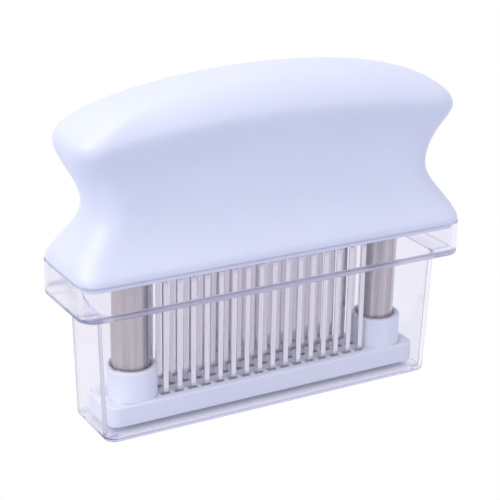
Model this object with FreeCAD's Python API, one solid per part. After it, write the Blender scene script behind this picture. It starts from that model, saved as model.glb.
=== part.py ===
"""Blade meat tenderizer with its clear storage case, built piece by piece in millimetres.

The origin is the middle of the case's underside. +X runs along the tool, +Y to its back and +Z up.
The handle stands on the case's rim, and lifts straight out of it. The foot hangs under the handle
on two sprung columns, and slides up over the blades when it is pressed on.
"""
import FreeCAD, Part
import math
import os

Vector = FreeCAD.Vector

# ---- Storage case: a clear tub with a wide collar at its mouth ----
COLLAR_LENGTH = 146.0
COLLAR_WIDTH = 37.0
COLLAR_CORNER = 6.0
RIM_HEIGHT = 57.4           # underside of the case to the rim that the handle stands on
COLLAR_DEPTH = 12.0         # rim to the underside of the ledge
COLLAR_EDGE_ROUND = 1.0
LEDGE_END = 7.9             # how far the collar stands out from the tub, at each end
LEDGE_SIDE = 4.1            # and at each side
TUB_DRAFT_END = 1.5         # how far the tub draws in towards its floor, at each end
TUB_DRAFT_SIDE = 0.4        # and at each side
TUB_CORNER = 4.0
TUB_EDGE_ROUND = 1.5
CASE_WALL = 1.8
CASE_FLOOR = 1.5

# ---- Handle: a hollow grip, wide at its base, drawn in at its waist, with an arched crown ----
GRIP_HEIGHT = 60.8          # rim to the crest
WAIST_RISE = 22.4           # rim to the waist
CROWN_DROP = 12.8           # crest down to where the crown is widest, at mid length
BASE_INSET = 0.05           # the grip's base stands this far inside the collar's outline
WAIST_INSET = 8.7           # collar's end in to the waist's
CROWN_INSET = 1.2           # collar's end in to the crown's
CROWN_SIDE_INSET = 2.3      # collar's side in to the crown's
WAIST_CLEARANCE = 1.7       # between the stop collars and the waist's inside
ARCH_RADIUS = 340.0         # bow of the crown along the grip
BASE_CORNER = 6.5
WAIST_CORNER = 11.4
CROWN_CORNER = 10.8
HANDLE_WALL = 2.5
CROWN_FULLNESS = 2.5        # 2 is an ellipse, more is squarer
END_DRAW_POWER = 1.15       # how late the base's ends draw in towards the waist
SIDE_DRAW_POWER = 0.62      # how late its sides do: less than 1 is sooner
UNDERCUT_POWER = 2.0        # how late the waist swells out to the crown's sides
CORNER_POWER = 1.8          # how soon the base's tight corners open out above the rim
CORNER_LIMIT = 0.97         # of the half width, so that each end keeps a flat

# ---- Blade head: the plate that closes the handle and carries the blades ----
HEAD_DROP = 1.6             # how far the head hangs below the rim
HEAD_THICKNESS = 5.0
HEAD_CLEARANCE = 0.5        # around the head, inside the handle's skirt
CLAMP_END_CLEARANCE = 0.5   # between the clamp's ends and the handle's bosses
CLAMP_RIM = 1.95            # of the clamp beside the bushes
CLAMP_THICKNESS = 2.5
CLAMP_CORNER = 3.0

# ---- Blades ----
BLADE_PITCH = 5.17
ROW_SPACING = 5.85
BLADE_WIDTH = 2.0
BLADE_THICKNESS = 0.75
BLADE_HEAD_WIDTH = 3.0
BLADE_HEAD_HEIGHT = 1.2
BLADE_POINT = 2.2           # height of the sharpened end
BLADE_COVER = 1.0           # how far the points stay inside the foot
BLADE_TO_CUP = 1.2          # least distance from a row's last blade to the cup's side

# ---- Foot: the slotted plate that rests on the meat ----
FOOT_END_CLEARANCE = 1.2    # between the foot and the tub's wall at its floor
FOOT_SIDE_CLEARANCE = 2.6
FOOT_THICKNESS = 7.4
FOOT_CORNER = 4.0
FOOT_CLEARANCE = 1.5        # above the case's floor
FOOT_EDGE_ROUND = 0.8
SLOT_LENGTH = 2.8
SLOT_WIDTH = 1.7
CUP_WALL = 2.0
CUP_HEIGHT = 10.7           # above the plate
CUP_MOUTH_CLEARANCE = 0.55  # around the column in the cup's wider mouth
CUP_MOUTH_DEPTH = 4.5
COLUMN_SEAT = 4.0           # foot's underside to the column's lower end
COLUMN_INSET = 11.7         # foot's end to the column's axis

# ---- Columns, springs and their stops ----
COLUMN_RADIUS = 6.35
COLUMN_WALL = 0.8
PLUG_HEIGHT = 6.0
BUSH_RISE = 9.2             # bush above the head's upper face
BUSH_WALL = 0.98
BUSH_FLANGE = 0.8
BUSH_FLANGE_THICKNESS = 1.5
BUMPER_THICKNESS = 1.2
BUMPER_CLEARANCE = 0.3
STOP_HEIGHT = 2.3
STOP_WIDTH = 1.2
POST_CLEARANCE = 0.35       # between the post and the column's bore
POST_OVERLAP = 11.0         # of the post in the column at rest
POST_BOSS_WALL = 2.3
POST_BOSS_DROP = 13.2       # crest down to the lower faces of the posts' bosses
POST_BOSS_CLEARANCE = 1.5   # above the column's top at full travel
POST_SOCKET = 4.3
SPRING_WIRE = 1.0
SPRING_CLOSED_PITCH = 1.5   # from turn to turn at full travel
SPRING_CLEARANCE = 0.5      # between the coil and the column's bore

# ---- Screws and fits ----
FIT = 0.05                  # a snug fit between pieces that stay together
RUNNING_FIT = 0.07          # the column in its bush
HANDLE_SCREW_RADIUS = 1.25
HANDLE_SCREW_LENGTH = 11.0
HANDLE_SCREW_HEAD_RADIUS = 2.6
HANDLE_SCREW_HEAD_HEIGHT = 1.9
HANDLE_BOSS_RADIUS = 3.0
HANDLE_BOSS_HEIGHT = 17.0
HANDLE_BOSS_INSET = 10.0    # collar's end to the bosses
HANDLE_BOSS_SPACING = 15.0  # between the two bosses at one end
CLAMP_SCREW_RADIUS = 1.2
CLAMP_SCREW_LENGTH = 5.5
CLAMP_SCREW_HEAD_RADIUS = 1.9
CLAMP_SCREW_HEAD_HEIGHT = 1.5
CLAMP_SCREW_TO_COLUMN = 14.9
COLUMN_SCREW_RADIUS = 1.6
COLUMN_SCREW_LENGTH = 6.5
COLUMN_SCREW_HEAD_RADIUS = 3.4
COLUMN_SCREW_HEAD_HEIGHT = 1.9
RECESS_WIDTH = 0.7          # cross recess in every screw head
RECESS_DEPTH = 0.9
RECESS_REACH = 1.3          # length of the recess over the head's radius
OVERCUT = 1.0               # how far a cutting body runs past the face that it opens
LEVEL = 1e-4                # heights closer than this are the same height

# ---- Radii, lengths and widths that follow from the sizes ----
COLUMN_BORE = COLUMN_RADIUS - COLUMN_WALL
BUSH_BORE = COLUMN_RADIUS + RUNNING_FIT
BUSH_RADIUS = BUSH_BORE + BUSH_WALL
BUSH_FLANGE_RADIUS = BUSH_RADIUS + BUSH_FLANGE
STOP_BORE = COLUMN_RADIUS + FIT
POST_RADIUS = COLUMN_BORE - POST_CLEARANCE
CUP_MOUTH_RADIUS = COLUMN_RADIUS + CUP_MOUTH_CLEARANCE
CUP_RADIUS = CUP_MOUTH_RADIUS + CUP_WALL
TUB_TOP_LENGTH = COLLAR_LENGTH - 2 * LEDGE_END
TUB_TOP_WIDTH = COLLAR_WIDTH - 2 * LEDGE_SIDE
TUB_FLOOR_LENGTH = TUB_TOP_LENGTH - 2 * TUB_DRAFT_END
TUB_FLOOR_WIDTH = TUB_TOP_WIDTH - 2 * TUB_DRAFT_SIDE
FOOT_LENGTH = TUB_FLOOR_LENGTH - 2 * (CASE_WALL + FOOT_END_CLEARANCE)
FOOT_WIDTH = TUB_FLOOR_WIDTH - 2 * (CASE_WALL + FOOT_SIDE_CLEARANCE)
COLUMN_SPACING = FOOT_LENGTH - 2 * COLUMN_INSET
BASE_LENGTH = COLLAR_LENGTH - 2 * BASE_INSET
BASE_WIDTH = COLLAR_WIDTH - 2 * BASE_INSET
WAIST_LENGTH = COLLAR_LENGTH - 2 * WAIST_INSET
WAIST_WIDTH = 2 * (STOP_BORE + STOP_WIDTH + WAIST_CLEARANCE + HANDLE_WALL)
CROWN_LENGTH = COLLAR_LENGTH - 2 * CROWN_INSET
CROWN_WIDTH = COLLAR_WIDTH - 2 * CROWN_SIDE_INSET
HANDLE_BOSS_X = COLLAR_LENGTH / 2 - HANDLE_BOSS_INSET
CLAMP_LENGTH = 2 * (HANDLE_BOSS_X - HANDLE_BOSS_RADIUS - CLAMP_END_CLEARANCE)
CLAMP_WIDTH = 2 * (BUSH_RADIUS + FIT + CLAMP_RIM)
CLAMP_SCREW_SPACING = COLUMN_SPACING / 2 - CLAMP_SCREW_TO_COLUMN
BLADES_PER_ROW = int((COLUMN_SPACING - 2 * (CUP_RADIUS + BLADE_TO_CUP)) / BLADE_PITCH) + 1

# ---- Heights that follow from the sizes ----
LEDGE_HEIGHT = RIM_HEIGHT - COLLAR_DEPTH
WAIST_HEIGHT = RIM_HEIGHT + WAIST_RISE
CREST_HEIGHT = RIM_HEIGHT + GRIP_HEIGHT
CROWN_HEIGHT = CREST_HEIGHT - CROWN_DROP
HEAD_BOTTOM = RIM_HEIGHT - HEAD_DROP
HEAD_TOP = HEAD_BOTTOM + HEAD_THICKNESS
CLAMP_TOP = HEAD_TOP + CLAMP_THICKNESS
FOOT_BOTTOM = CASE_FLOOR + FOOT_CLEARANCE
FOOT_TOP = FOOT_BOTTOM + FOOT_THICKNESS
CUP_TOP = FOOT_TOP + CUP_HEIGHT
BLADE_TIP = FOOT_BOTTOM + BLADE_COVER
COLUMN_BOTTOM = FOOT_BOTTOM + COLUMN_SEAT
PLUG_TOP = COLUMN_BOTTOM + PLUG_HEIGHT
BUSH_TOP = HEAD_TOP + BUSH_RISE
STOP_BOTTOM = BUSH_TOP + BUMPER_THICKNESS
COLUMN_TOP = STOP_BOTTOM + STOP_HEIGHT
POST_BOTTOM = COLUMN_TOP - POST_OVERLAP
POST_BOSS_BOTTOM = CREST_HEIGHT - POST_BOSS_DROP
POST_TOP = POST_BOSS_BOTTOM + POST_SOCKET
TRAVEL = POST_BOSS_BOTTOM - POST_BOSS_CLEARANCE - COLUMN_TOP      # how far the foot slides up
SPRING_TURNS = (POST_BOTTOM - PLUG_TOP - TRAVEL) / SPRING_CLOSED_PITCH

# ---- Places of what repeats ----
COLUMN_X = {"left": -COLUMN_SPACING / 2, "right": COLUMN_SPACING / 2}
ROW_Y = {"front": -ROW_SPACING, "middle": 0.0, "rear": ROW_SPACING}
BLADE_X = [(i - (BLADES_PER_ROW - 1) / 2) * BLADE_PITCH for i in range(BLADES_PER_ROW)]
HANDLE_SCREW_PLACES = [(sx * HANDLE_BOSS_X, sy * HANDLE_BOSS_SPACING / 2)
                       for sx in (-1, 1) for sy in (-1, 1)]
CLAMP_SCREW_PLACES = [(i * CLAMP_SCREW_SPACING, sy * ROW_SPACING / 2) for i in (-1, 0, 1) for sy in (-1, 1)]


# ---- Basic shapes ----
def rounded_outline(length, width, corner, z):
    """Closed wire of a rectangle with round corners, centred on the Z axis."""
    x, y = length / 2, width / 2
    in_x, in_y = x - corner, y - corner
    edges = []
    for start, end in (((-in_x, -y), (in_x, -y)), ((x, -in_y), (x, in_y)),
                       ((in_x, y), (-in_x, y)), ((-x, in_y), (-x, -in_y))):
        edges.append(Part.makeLine(Vector(*start, z), Vector(*end, z)))
    for quarter, (sx, sy) in enumerate(((1, -1), (1, 1), (-1, 1), (-1, -1))):
        centre = Vector(sx * in_x, sy * in_y, z)
        turn = 90 * quarter - 90
        edges.append(Part.makeCircle(corner, centre, Vector(0, 0, 1), turn, turn + 90))
    return Part.Wire(Part.__sortEdges__(edges))


def rounded_plate(length, width, corner, bottom, top):
    """Flat plate with round corners."""
    return Part.Face(rounded_outline(length, width, corner, bottom)).extrude(Vector(0, 0, top - bottom))


def rod(radius, bottom, top, x=0.0, y=0.0):
    """Upright round bar."""
    return Part.makeCylinder(radius, top - bottom, Vector(x, y, bottom))


def pipe(outer, inner, bottom, top, x=0.0, y=0.0):
    """Upright tube."""
    return rod(outer, bottom, top, x, y).cut(rod(inner, bottom, top, x, y))


def block(length, width, bottom, top, x=0.0, y=0.0):
    """Box centred on (x, y)."""
    return Part.makeBox(length, width, top - bottom, Vector(x - length / 2, y - width / 2, bottom))


def screw(radius, length, head_radius, head_height, face, up, x, y):
    """Screw whose head bears on the height `face`; its shank points up, or down if `up` is -1."""
    shank = rod(radius, min(face, face + up * length), max(face, face + up * length), x, y)
    head_end = face - up * head_height
    head = rod(head_radius, min(face, head_end), max(face, head_end), x, y)
    floor = head_end + up * RECESS_DEPTH
    low, high = min(floor, head_end), max(floor, head_end)
    bar = RECESS_REACH * head_radius
    cross = block(bar, RECESS_WIDTH, low, high, x, y).fuse(block(RECESS_WIDTH, bar, low, high, x, y))
    return head.fuse(shank).cut(cross).removeSplitter()


def edges_at(shape, z):
    """Edges of a shape that lie level at height z."""
    return [e for e in shape.Edges
            if abs(e.BoundBox.ZMin - z) < LEVEL and abs(e.BoundBox.ZMax - z) < LEVEL]


# ---- Storage case ----
def storage_case():
    """Clear tub with a floor, drafted walls, a ledge and a collar."""
    tub = Part.makeLoft([rounded_outline(TUB_FLOOR_LENGTH, TUB_FLOOR_WIDTH, TUB_CORNER, 0),
                         rounded_outline(TUB_TOP_LENGTH, TUB_TOP_WIDTH, TUB_CORNER, LEDGE_HEIGHT)],
                        True, True)
    tub = tub.makeFillet(TUB_EDGE_ROUND, edges_at(tub, 0))
    collar = rounded_plate(COLLAR_LENGTH, COLLAR_WIDTH, COLLAR_CORNER, LEDGE_HEIGHT, RIM_HEIGHT)
    collar = collar.makeFillet(COLLAR_EDGE_ROUND, edges_at(collar, LEDGE_HEIGHT))
    thin = 2 * CASE_WALL
    ledge_top = LEDGE_HEIGHT + CASE_WALL
    inner_corner = TUB_CORNER - CASE_WALL
    well = Part.makeLoft([rounded_outline(TUB_FLOOR_LENGTH - thin, TUB_FLOOR_WIDTH - thin,
                                          inner_corner, CASE_FLOOR),
                          rounded_outline(TUB_TOP_LENGTH - thin, TUB_TOP_WIDTH - thin,
                                          inner_corner, ledge_top)], True, True)
    mouth = rounded_plate(COLLAR_LENGTH - thin, COLLAR_WIDTH - thin, COLLAR_CORNER - CASE_WALL,
                          ledge_top, RIM_HEIGHT + OVERCUT)
    return tub.fuse(collar).cut(well).cut(mouth)


# ---- Handle ----
def grip_outline(length, width, corner):
    """Points round a rectangle with round corners, from the middle of its right end."""
    half_x, half_y = length / 2, width / 2
    corner = min(corner, CORNER_LIMIT * half_y)
    in_x, in_y = half_x - corner, half_y - corner
    corner_steps, side_steps, end_steps = 5, 8, 3
    points = []
    for quarter, (sx, sy) in enumerate(((1, 1), (-1, 1), (-1, -1), (1, -1))):
        for step in range(corner_steps + 1):
            turn = math.pi / 2 * (quarter + step / corner_steps)
            points.append((sx * in_x + corner * math.cos(turn), sy * in_y + corner * math.sin(turn)))
        start = points[-1]
        end, steps = (((-sx * in_x, start[1]), side_steps) if quarter % 2 == 0
                      else ((start[0], -sy * in_y), end_steps))
        for step in range(1, steps):
            points.append(tuple(a + (b - a) * step / steps for a, b in zip(start, end)))
    return points


def bowed(points, level, share):
    """Control points of one level, which follows `share` of the crown's bow down to its ends."""
    return [Vector(x, y, level - share * (ARCH_RADIUS - math.sqrt(ARCH_RADIUS ** 2 - x * x)))
            for x, y in points]


def base_size(height):
    """Length, width and corner radius of the grip at a height between the rim and the waist."""
    part = (height - RIM_HEIGHT) / (WAIST_HEIGHT - RIM_HEIGHT)
    end_swell, side_swell = [(1 + math.cos(math.pi * part ** power)) / 2
                             for power in (END_DRAW_POWER, SIDE_DRAW_POWER)]
    return (WAIST_LENGTH + (BASE_LENGTH - WAIST_LENGTH) * end_swell,
            WAIST_WIDTH + (BASE_WIDTH - WAIST_WIDTH) * side_swell,
            WAIST_CORNER + (BASE_CORNER - WAIST_CORNER) * side_swell ** CORNER_POWER)


def flank_rings(inset):
    """Control points of the levels from the rim up to where the crown is widest."""
    steps = 9
    rings = []
    for step in range(steps):
        height = RIM_HEIGHT + (WAIST_HEIGHT - RIM_HEIGHT) * step / steps
        rings.append((base_size(height), height))
    for step in range(steps + 1):
        part = step / steps
        swell = (1 - math.cos(math.pi * part)) / 2
        size = (WAIST_LENGTH + (CROWN_LENGTH - WAIST_LENGTH) * swell,
                WAIST_WIDTH + (CROWN_WIDTH - WAIST_WIDTH) * part ** UNDERCUT_POWER,
                WAIST_CORNER + (CROWN_CORNER - WAIST_CORNER) * swell)
        rings.append((size, WAIST_HEIGHT + (CROWN_HEIGHT - WAIST_HEIGHT) * part))
    return [bowed(grip_outline(length - 2 * inset, width - 2 * inset, corner - inset), height,
                  (height - RIM_HEIGHT) / (CROWN_HEIGHT - RIM_HEIGHT))
            for (length, width, corner), height in rings]


def crown_rings(inset):
    """Control points of the crown's levels, which turn from a round-cornered oblong into an oval."""
    steps = 12
    length, width = CROWN_LENGTH - 2 * inset, CROWN_WIDTH - 2 * inset
    rise = CREST_HEIGHT - inset - CROWN_HEIGHT
    outline = grip_outline(length, width, CROWN_CORNER - inset)
    rings = []
    for step in range(1, steps):
        turn = math.pi / 2 * step / steps
        lift = math.sin(turn) ** (2 / CROWN_FULLNESS)
        reach = math.cos(turn) ** (2 / CROWN_FULLNESS)
        spread = math.sqrt(1 - lift ** 2)
        oval = lift ** 2
        ring = []
        for x, y in outline:
            angle = math.atan2(y / width, x / length)
            ring.append((reach * (x + (length / 2 * math.cos(angle) - x) * oval),
                         spread * (y + (width / 2 * math.sin(angle) - y) * oval)))
        rings.append(bowed(ring, CROWN_HEIGHT + rise * lift, 1.0))
    return rings + [[Vector(0, 0, CROWN_HEIGHT + rise)] * len(outline)]


def grip_form(inset):
    """Solid of the grip's outer shape, or of a shape that lies `inset` inside it."""
    rings = flank_rings(inset) + crown_rings(inset)
    around, up = len(rings[0]), len(rings)
    degree = 3
    surface = Part.BSplineSurface()
    surface.buildFromPolesMultsKnots([[ring[i] for ring in rings] for i in range(around)],
                                     [1] * (around + 1),
                                     [degree + 1] + [1] * (up - degree - 1) + [degree + 1],
                                     list(range(around + 1)), list(range(up - degree + 1)),
                                     True, False, degree, degree)
    skin = surface.toShape()
    base = Part.Face(Part.Wire(edges_at(skin, RIM_HEIGHT)))
    base.reverse()
    return Part.Solid(Part.Shell([skin, base]))


def handle_shell():
    """Hollow grip with screw bosses at its base and a boss for each spring post under its crown."""
    outside = grip_form(0)
    shell = outside.cut(grip_form(HANDLE_WALL))
    bosses = [rod(HANDLE_BOSS_RADIUS, HEAD_TOP, HEAD_TOP + HANDLE_BOSS_HEIGHT, x, y)
              for x, y in HANDLE_SCREW_PLACES]
    bosses += [rod(POST_RADIUS + POST_BOSS_WALL, POST_BOSS_BOTTOM, CREST_HEIGHT, x)
               for x in COLUMN_X.values()]
    for boss in bosses:
        shell = shell.fuse(boss.common(outside))
    pilot_end = HEAD_BOTTOM + HANDLE_SCREW_HEAD_HEIGHT + HANDLE_SCREW_LENGTH + OVERCUT
    for x, y in HANDLE_SCREW_PLACES:
        shell = shell.cut(rod(HANDLE_SCREW_RADIUS + FIT, HEAD_TOP, pilot_end, x, y))
    for x in COLUMN_X.values():
        shell = shell.cut(rod(POST_RADIUS + FIT, POST_BOTTOM, POST_TOP + FIT, x))
    return shell


# ---- Blade head and blades ----
def blade_head():
    """Plate with a slot for each blade, a channel over each row, and holes for bushes and screws."""
    length, width, corner = base_size(HEAD_TOP)
    margin = 2 * (HANDLE_WALL + HEAD_CLEARANCE)
    plate = rounded_plate(length - margin, width - margin, corner - HANDLE_WALL, HEAD_BOTTOM, HEAD_TOP)
    cutters = []
    channel = 2 * BLADE_X[-1] + BLADE_HEAD_WIDTH + 2 * FIT
    slot_width = BLADE_THICKNESS + 2 * FIT
    for y in ROW_Y.values():
        cutters.append(block(channel, slot_width, HEAD_TOP - BLADE_HEAD_HEIGHT, HEAD_TOP, 0, y))
        cutters += [block(BLADE_WIDTH + 2 * FIT, slot_width, HEAD_BOTTOM, HEAD_TOP, x, y) for x in BLADE_X]
    for x in COLUMN_X.values():
        cutters.append(rod(BUSH_RADIUS + FIT, HEAD_BOTTOM, HEAD_TOP, x))
        cutters.append(rod(BUSH_FLANGE_RADIUS + FIT, HEAD_TOP - BUSH_FLANGE_THICKNESS, HEAD_TOP, x))
    for x, y in HANDLE_SCREW_PLACES:
        cutters.append(rod(HANDLE_SCREW_RADIUS + FIT, HEAD_BOTTOM, HEAD_TOP, x, y))
        cutters.append(rod(HANDLE_SCREW_HEAD_RADIUS + FIT, HEAD_BOTTOM,
                           HEAD_BOTTOM + HANDLE_SCREW_HEAD_HEIGHT, x, y))
    thread_end = CLAMP_TOP - CLAMP_SCREW_LENGTH - FIT
    cutters += [rod(CLAMP_SCREW_RADIUS + FIT, thread_end, HEAD_TOP, x, y) for x, y in CLAMP_SCREW_PLACES]
    return plate.cut(cutters)


def blade_clamp():
    """Plate over the blade heads and the bush flanges, held down by the clamp screws."""
    plate = rounded_plate(CLAMP_LENGTH, CLAMP_WIDTH, CLAMP_CORNER, HEAD_TOP, CLAMP_TOP)
    holes = [rod(BUSH_RADIUS + FIT, HEAD_TOP, CLAMP_TOP, x) for x in COLUMN_X.values()]
    holes += [rod(CLAMP_SCREW_RADIUS + FIT, HEAD_TOP, CLAMP_TOP, x, y) for x, y in CLAMP_SCREW_PLACES]
    return plate.cut(holes)


def blade(x, y):
    """Flat blade with a T-shaped head at the top and a two-sided point at the bottom."""
    half, head = BLADE_WIDTH / 2, BLADE_HEAD_WIDTH / 2
    neck = HEAD_TOP - BLADE_HEAD_HEIGHT
    shoulder = BLADE_TIP + BLADE_POINT
    outline = [(0, BLADE_TIP), (half, shoulder), (half, neck), (head, neck), (head, HEAD_TOP),
               (-head, HEAD_TOP), (-head, neck), (-half, neck), (-half, shoulder), (0, BLADE_TIP)]
    face = Part.Face(Part.makePolygon([Vector(x + px, y - BLADE_THICKNESS / 2, pz) for px, pz in outline]))
    return face.extrude(Vector(0, BLADE_THICKNESS, 0))


# ---- Foot ----
def foot_plate():
    """Slotted plate with a cup for each column, counterbored below for the column screws."""
    plate = rounded_plate(FOOT_LENGTH, FOOT_WIDTH, FOOT_CORNER, FOOT_BOTTOM, FOOT_TOP)
    plate = plate.makeFillet(FOOT_EDGE_ROUND, edges_at(plate, FOOT_TOP) + edges_at(plate, FOOT_BOTTOM))
    for x in COLUMN_X.values():
        cup = rod(CUP_RADIUS, FOOT_BOTTOM + FOOT_EDGE_ROUND, CUP_TOP, x)
        plate = plate.fuse(cup.makeFillet(FOOT_EDGE_ROUND, edges_at(cup, CUP_TOP)))
    cutters = [block(SLOT_LENGTH, SLOT_WIDTH, FOOT_BOTTOM, FOOT_TOP, x, y)
               for y in ROW_Y.values() for x in BLADE_X]
    for x in COLUMN_X.values():
        cutters.append(rod(CUP_MOUTH_RADIUS, CUP_TOP - CUP_MOUTH_DEPTH, CUP_TOP, x))
        cutters.append(rod(COLUMN_RADIUS + FIT, COLUMN_BOTTOM, CUP_TOP, x))
        cutters.append(rod(COLUMN_SCREW_RADIUS + FIT, FOOT_BOTTOM, COLUMN_BOTTOM, x))
        cutters.append(rod(COLUMN_SCREW_HEAD_RADIUS + FIT, FOOT_BOTTOM,
                           FOOT_BOTTOM + COLUMN_SCREW_HEAD_HEIGHT, x))
    return plate.cut(cutters)


# ---- Columns, bushes, stops and springs ----
def column_tube(x):
    """Steel tube from the foot's cup up into the handle."""
    return pipe(COLUMN_RADIUS, COLUMN_BORE, COLUMN_BOTTOM, COLUMN_TOP, x)


def column_plug(x):
    """Threaded plug in the tube's lower end, which the spring stands on."""
    thread_end = FOOT_BOTTOM + COLUMN_SCREW_HEAD_HEIGHT + COLUMN_SCREW_LENGTH + FIT
    plug = rod(COLUMN_BORE - FIT, COLUMN_BOTTOM, PLUG_TOP, x)
    return plug.cut(rod(COLUMN_SCREW_RADIUS + FIT, COLUMN_BOTTOM, thread_end, x))


def stop_collar(x):
    """Ring on the tube's upper end that keeps it from dropping out of the handle."""
    return pipe(STOP_BORE + STOP_WIDTH, STOP_BORE, STOP_BOTTOM, COLUMN_TOP, x)


def guide_bush(x):
    """Flanged bush that the column slides in, trapped between the head and its clamp."""
    body = rod(BUSH_RADIUS, HEAD_BOTTOM, BUSH_TOP, x)
    flange = rod(BUSH_FLANGE_RADIUS, HEAD_TOP - BUSH_FLANGE_THICKNESS, HEAD_TOP, x)
    return body.fuse(flange).cut(rod(BUSH_BORE, HEAD_BOTTOM, BUSH_TOP, x)).removeSplitter()


def stop_bumper(x):
    """Soft ring on the bush that the stop collar comes down on."""
    return pipe(COLUMN_RADIUS + STOP_WIDTH, COLUMN_RADIUS + BUMPER_CLEARANCE, BUSH_TOP, STOP_BOTTOM, x)


def spring_post(x):
    """Round post from the crown's boss down into the column, which the spring pushes against."""
    return rod(POST_RADIUS, POST_BOTTOM, POST_TOP, x)


def column_spring(x):
    """Compression spring in the column, between its plug and the post."""
    half_wire = SPRING_WIRE / 2
    bottom = PLUG_TOP + half_wire
    height = POST_BOTTOM - half_wire - bottom
    radius = COLUMN_BORE - SPRING_CLEARANCE - half_wire
    path = Part.Wire(Part.makeHelix(height / SPRING_TURNS, height, radius))
    rise = height / SPRING_TURNS / (2 * math.pi)
    section = Part.Wire(Part.makeCircle(half_wire, Vector(radius, 0, 0), Vector(0, radius, rise)))
    coil = path.makePipeShell([section], True, True)
    coil.translate(Vector(x, 0, bottom))
    return coil


# ---- Screws ----
def clamp_screws():
    """Screws that hold the clamp on the blade head."""
    return [screw(CLAMP_SCREW_RADIUS, CLAMP_SCREW_LENGTH, CLAMP_SCREW_HEAD_RADIUS,
                  CLAMP_SCREW_HEAD_HEIGHT, CLAMP_TOP, -1, x, y) for x, y in CLAMP_SCREW_PLACES]


def handle_screws():
    """Screws that hold the blade head up against the handle's bosses."""
    return [screw(HANDLE_SCREW_RADIUS, HANDLE_SCREW_LENGTH, HANDLE_SCREW_HEAD_RADIUS,
                  HANDLE_SCREW_HEAD_HEIGHT, HEAD_BOTTOM + HANDLE_SCREW_HEAD_HEIGHT, 1, x, y)
            for x, y in HANDLE_SCREW_PLACES]


def column_screws():
    """Screws that hold the columns in the foot's cups."""
    return [screw(COLUMN_SCREW_RADIUS, COLUMN_SCREW_LENGTH, COLUMN_SCREW_HEAD_RADIUS,
                  COLUMN_SCREW_HEAD_HEIGHT, FOOT_BOTTOM + COLUMN_SCREW_HEAD_HEIGHT, 1, x, 0.0)
            for x in COLUMN_X.values()]


def all_nodes():
    """Every piece, or group of like pieces, by name."""
    nodes = {"storage_case": storage_case(), "handle_shell": handle_shell(), "blade_head": blade_head(),
             "blade_clamp": blade_clamp(), "foot_plate": foot_plate()}
    for row, y in ROW_Y.items():
        nodes[row + "_blades"] = Part.makeCompound([blade(x, y) for x in BLADE_X])
    for side, x in COLUMN_X.items():
        for name, make in (("column_tube", column_tube), ("column_plug", column_plug),
                           ("stop_collar", stop_collar), ("guide_bush", guide_bush),
                           ("stop_bumper", stop_bumper), ("spring_post", spring_post),
                           ("column_spring", column_spring)):
            nodes[side + "_" + name] = make(x)
    for name, make in (("clamp_screws", clamp_screws), ("handle_screws", handle_screws),
                       ("column_screws", column_screws)):
        nodes[name] = Part.makeCompound(make())
    return nodes


os.makedirs("parts", exist_ok=True)
for node, shape in all_nodes().items():
    shape.exportStep("parts/" + node + ".step")
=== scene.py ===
"""Dresses a blade meat tenderizer that stands in its clear storage case, and lights it in a small studio."""
import logging
import math
from dataclasses import dataclass
from enum import Enum

import bmesh
import bpy
from mathutils import Matrix, Vector


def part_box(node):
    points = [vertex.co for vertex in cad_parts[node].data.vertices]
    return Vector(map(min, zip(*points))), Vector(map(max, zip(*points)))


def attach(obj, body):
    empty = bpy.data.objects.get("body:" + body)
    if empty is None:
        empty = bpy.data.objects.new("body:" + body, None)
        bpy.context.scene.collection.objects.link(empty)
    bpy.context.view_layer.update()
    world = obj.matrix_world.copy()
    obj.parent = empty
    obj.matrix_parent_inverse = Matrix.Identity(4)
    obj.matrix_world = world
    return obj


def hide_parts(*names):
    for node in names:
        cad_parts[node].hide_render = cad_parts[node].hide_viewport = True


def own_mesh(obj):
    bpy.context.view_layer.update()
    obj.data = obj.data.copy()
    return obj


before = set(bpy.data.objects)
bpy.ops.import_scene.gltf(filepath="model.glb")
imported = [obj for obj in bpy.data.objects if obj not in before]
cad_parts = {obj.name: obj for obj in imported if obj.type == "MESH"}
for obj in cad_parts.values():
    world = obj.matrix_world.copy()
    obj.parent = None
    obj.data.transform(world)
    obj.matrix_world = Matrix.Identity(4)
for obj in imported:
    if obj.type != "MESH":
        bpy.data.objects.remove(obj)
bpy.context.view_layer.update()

MM = 0.001
VIEW_PIXELS = 500            # width of the view, in which the camera's focal length is given
SENSOR_MM = 36.0
LOOK_POINT = Vector((0.0, 0.0, 60.0 * MM))
SIDES = ("left", "right")
QUARTERS = ((1, 1), (-1, 1), (-1, -1), (1, -1))    # signs of x and y of a form's four corners
WHITE = (1.0, 1.0, 1.0)
PLASTIC_INDEX = 1.49

log = logging.getLogger("tenderizer")

Colour = tuple[float, float, float]
Place = tuple[float, float, float]
Span = tuple[float, float]
Ring = list[Vector]
Rows = list[list[bmesh.types.BMVert]]
MeshBuild = bmesh.types.BMesh
Socket = bpy.types.NodeSocket
Node = bpy.types.Node
Material = bpy.types.Material
Piece = bpy.types.Object


class Grain(Enum):
    """Way in which the lines of a brushed metal run, as a turn about y of lines that run along z."""

    UPRIGHT = 0.0
    LENGTHWISE = math.pi / 2


# ---- Node trees ----
MASK_SPAN = (0.3, 0.7)       # values of a noise mask between which it goes from low to high
GRAIN_DETAIL = 2.0
CLOUD_DETAIL = 4.0
LINE_DETAIL = 3.0
LINE_MASK_SHARE = 0.35       # how fine the mask of the lines is against their height


def srgb(red: int, green: int, blue: int) -> Colour:
    """Turns a display colour, with parts from 0 to 255, into the linear one that shaders use."""
    parts = (v / 255 for v in (red, green, blue))
    return tuple(v / 12.92 if v <= 0.04045 else ((v + 0.055) / 1.055) ** 2.4 for v in parts)


def emptied(owner: Material | bpy.types.World) -> bpy.types.NodeTree:
    """Gives the node tree of a material or world, with no nodes left in it.

    Args:
        owner: The material or world.

    Returns:
        Its node tree.
    """
    owner.use_nodes = True
    owner.node_tree.nodes.clear()
    return owner.node_tree


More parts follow.
